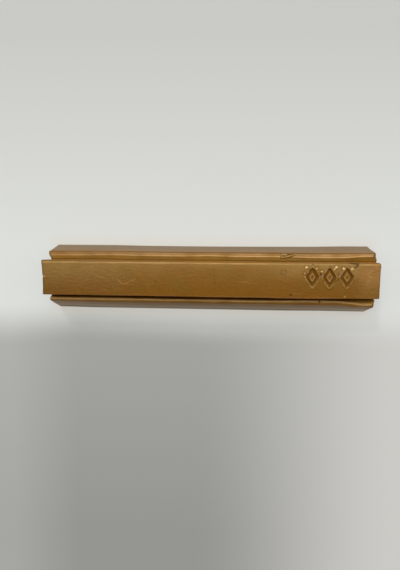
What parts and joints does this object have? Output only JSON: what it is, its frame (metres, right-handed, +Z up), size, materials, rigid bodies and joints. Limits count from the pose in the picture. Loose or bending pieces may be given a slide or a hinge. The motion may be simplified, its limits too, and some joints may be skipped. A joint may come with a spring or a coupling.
{
  "type": "furniture repair wax stick",
  "caption": "Hard wax repair stick with a stepped section: a drafted foot with side ledges, a raised rubbing bar, hot-stamped marks and a set wax drip.",
  "frame": {"origin": "middle of the foot's flat underside", "axes": "+X along the stick towards its marked end, +Y towards the rear ledge that carries the drip, +Z up from the underside to the bar"},
  "size_m": [0.08, 0.0164, 0.0102],
  "materials": {
    "body_wax": "waxy satin, light brown",
    "melted_wax": "glossy, re-melted wax"
  },
  "bodies": {
    "root": {"foot_block": "body_wax", "rear_ledge": "body_wax", "front_ledge": "body_wax", "working_bar": "body_wax", "stamp_rims": "melted_wax", "ledge_drip": "melted_wax"}
  },
  "joints": []
}
